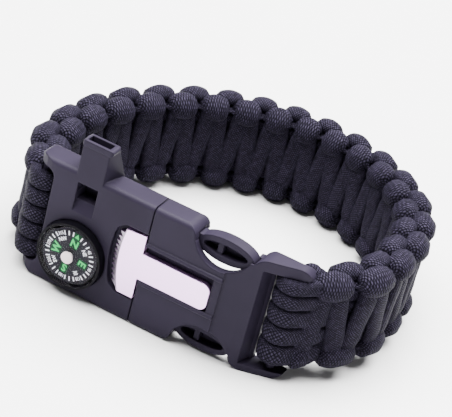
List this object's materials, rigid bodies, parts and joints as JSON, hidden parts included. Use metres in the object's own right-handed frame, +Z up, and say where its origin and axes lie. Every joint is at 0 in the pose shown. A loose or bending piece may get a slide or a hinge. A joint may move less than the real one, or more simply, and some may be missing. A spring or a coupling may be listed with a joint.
{
  "type": "woven cord bracelet",
  "caption": "Woven cord bracelet, a closed loop with a side-release buckle that carries a compass, a whistle and a toothed scraper.",
  "frame": {"origin": "middle of the bracelet's box seen from above, at the level of the surface that it stands on", "axes": "+X along the buckle from the compass half to the scraper half, +Y from the buckle across the wrist hollow to the far side of the band, +Z up along the axis of the loop"},
  "size_m": [0.0842, 0.0804, 0.0355],
  "materials": {
    "buckle_plastic": "moulded black plastic with a satin face and softly rounded edges",
    "scraper_steel": "pale stamped steel, fine even grain, slightly soft edges",
    "case_plastic": "glossy black plastic",
    "clear_cover": "clear domed cover, polished",
    "card_black": "smooth black card",
    "print_white": "white printed ticks, numbers and small letters",
    "print_green": "green printed letters and pointer",
    "cap_pale": "pale pinkish cap, glossy",
    "pin_metal": "turned metal pin",
    "cord": "braided nylon sheath, black, with a soft sheen on the threads"
  },
  "bodies": {
    "bracelet": {"compass_half": "buckle_plastic", "scraper_half": "buckle_plastic", "scraper": "scraper_steel", "compass_case": "case_plastic", "compass_cover": "clear_cover", "pivot_pin": "pin_metal", "paracord_band": "cord", "left_core_loops": "cord", "right_core_loops": "cord"},
    "card": {"compass_card": "card_black", "pivot_cap": "cap_pale"}
  },
  "joints": [
    {"name": "card_turn", "type": "hinge", "parent": "bracelet", "child": "card", "pos_m": [-0.01894, -0.03766, 0.0095], "axis": [0, 1, 0], "continuous": true}
  ]
}
